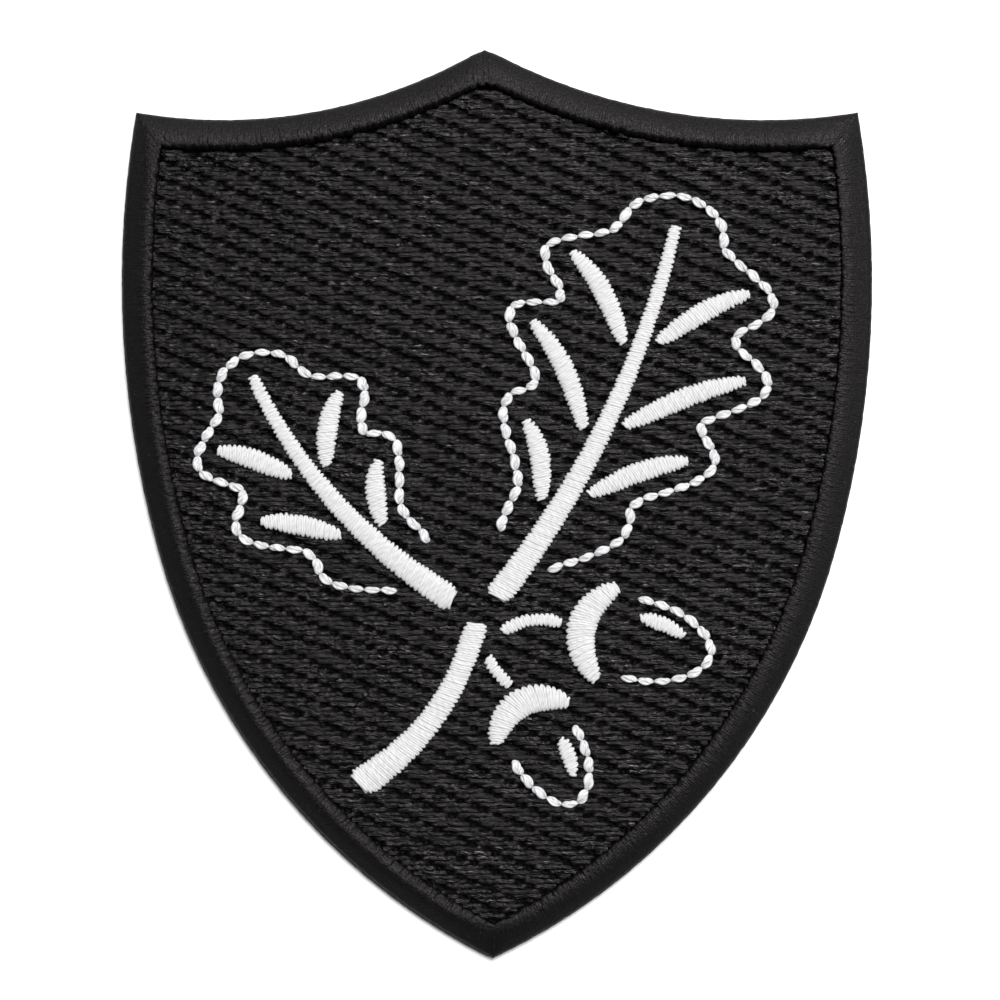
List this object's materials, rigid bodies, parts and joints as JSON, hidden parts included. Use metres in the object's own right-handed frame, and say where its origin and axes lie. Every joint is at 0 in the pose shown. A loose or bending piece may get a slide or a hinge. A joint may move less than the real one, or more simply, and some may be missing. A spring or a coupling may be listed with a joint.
{
  "type": "embroidered patch",
  "caption": "Shield-shaped embroidered patch of black cloth with a black stitched ground, a padded satin border and a sprig of oak leaves and acorns in white thread.",
  "frame": {"origin": "centre of the bounding box in plan, on the flat back face", "axes": "+Z out of the stitched face, +Y towards the shield's peak, +X to the right as the face is seen"},
  "size_m": [0.0734, 0.089, 0.0022],
  "materials": {
    "cloth": "black polyester twill",
    "ground_thread": "black embroidery thread in long filling stitches, slightly glossy",
    "border_thread": "black embroidery thread in dense satin stitch",
    "light_thread": "white embroidery thread, slightly glossy"
  },
  "bodies": {
    "root": {"base_cloth": "cloth", "ground_fill": "ground_thread", "satin_border": "border_thread", "stem": "light_thread", "large_leaf_outline": "light_thread", "large_leaf_rib": "light_thread", "large_leaf_vein_1": "light_thread", "large_leaf_vein_2": "light_thread", "large_leaf_vein_3": "light_thread", "large_leaf_vein_4": "light_thread", "large_leaf_vein_5": "light_thread", "large_leaf_vein_6": "light_thread", "small_leaf_outline": "light_thread", "small_leaf_rib": "light_thread", "small_leaf_vein_1": "light_thread", "small_leaf_vein_2": "light_thread", "small_leaf_vein_3": "light_thread", "small_leaf_vein_4": "light_thread", "side_acorn_stalk": "light_thread", "side_acorn_cup": "light_thread", "side_acorn_nut": "light_thread", "side_acorn_gleam": "light_thread", "hanging_acorn_stalk": "light_thread", "hanging_acorn_cup": "light_thread", "hanging_acorn_nut": "light_thread", "hanging_acorn_gleam": "light_thread"}
  },
  "joints": []
}
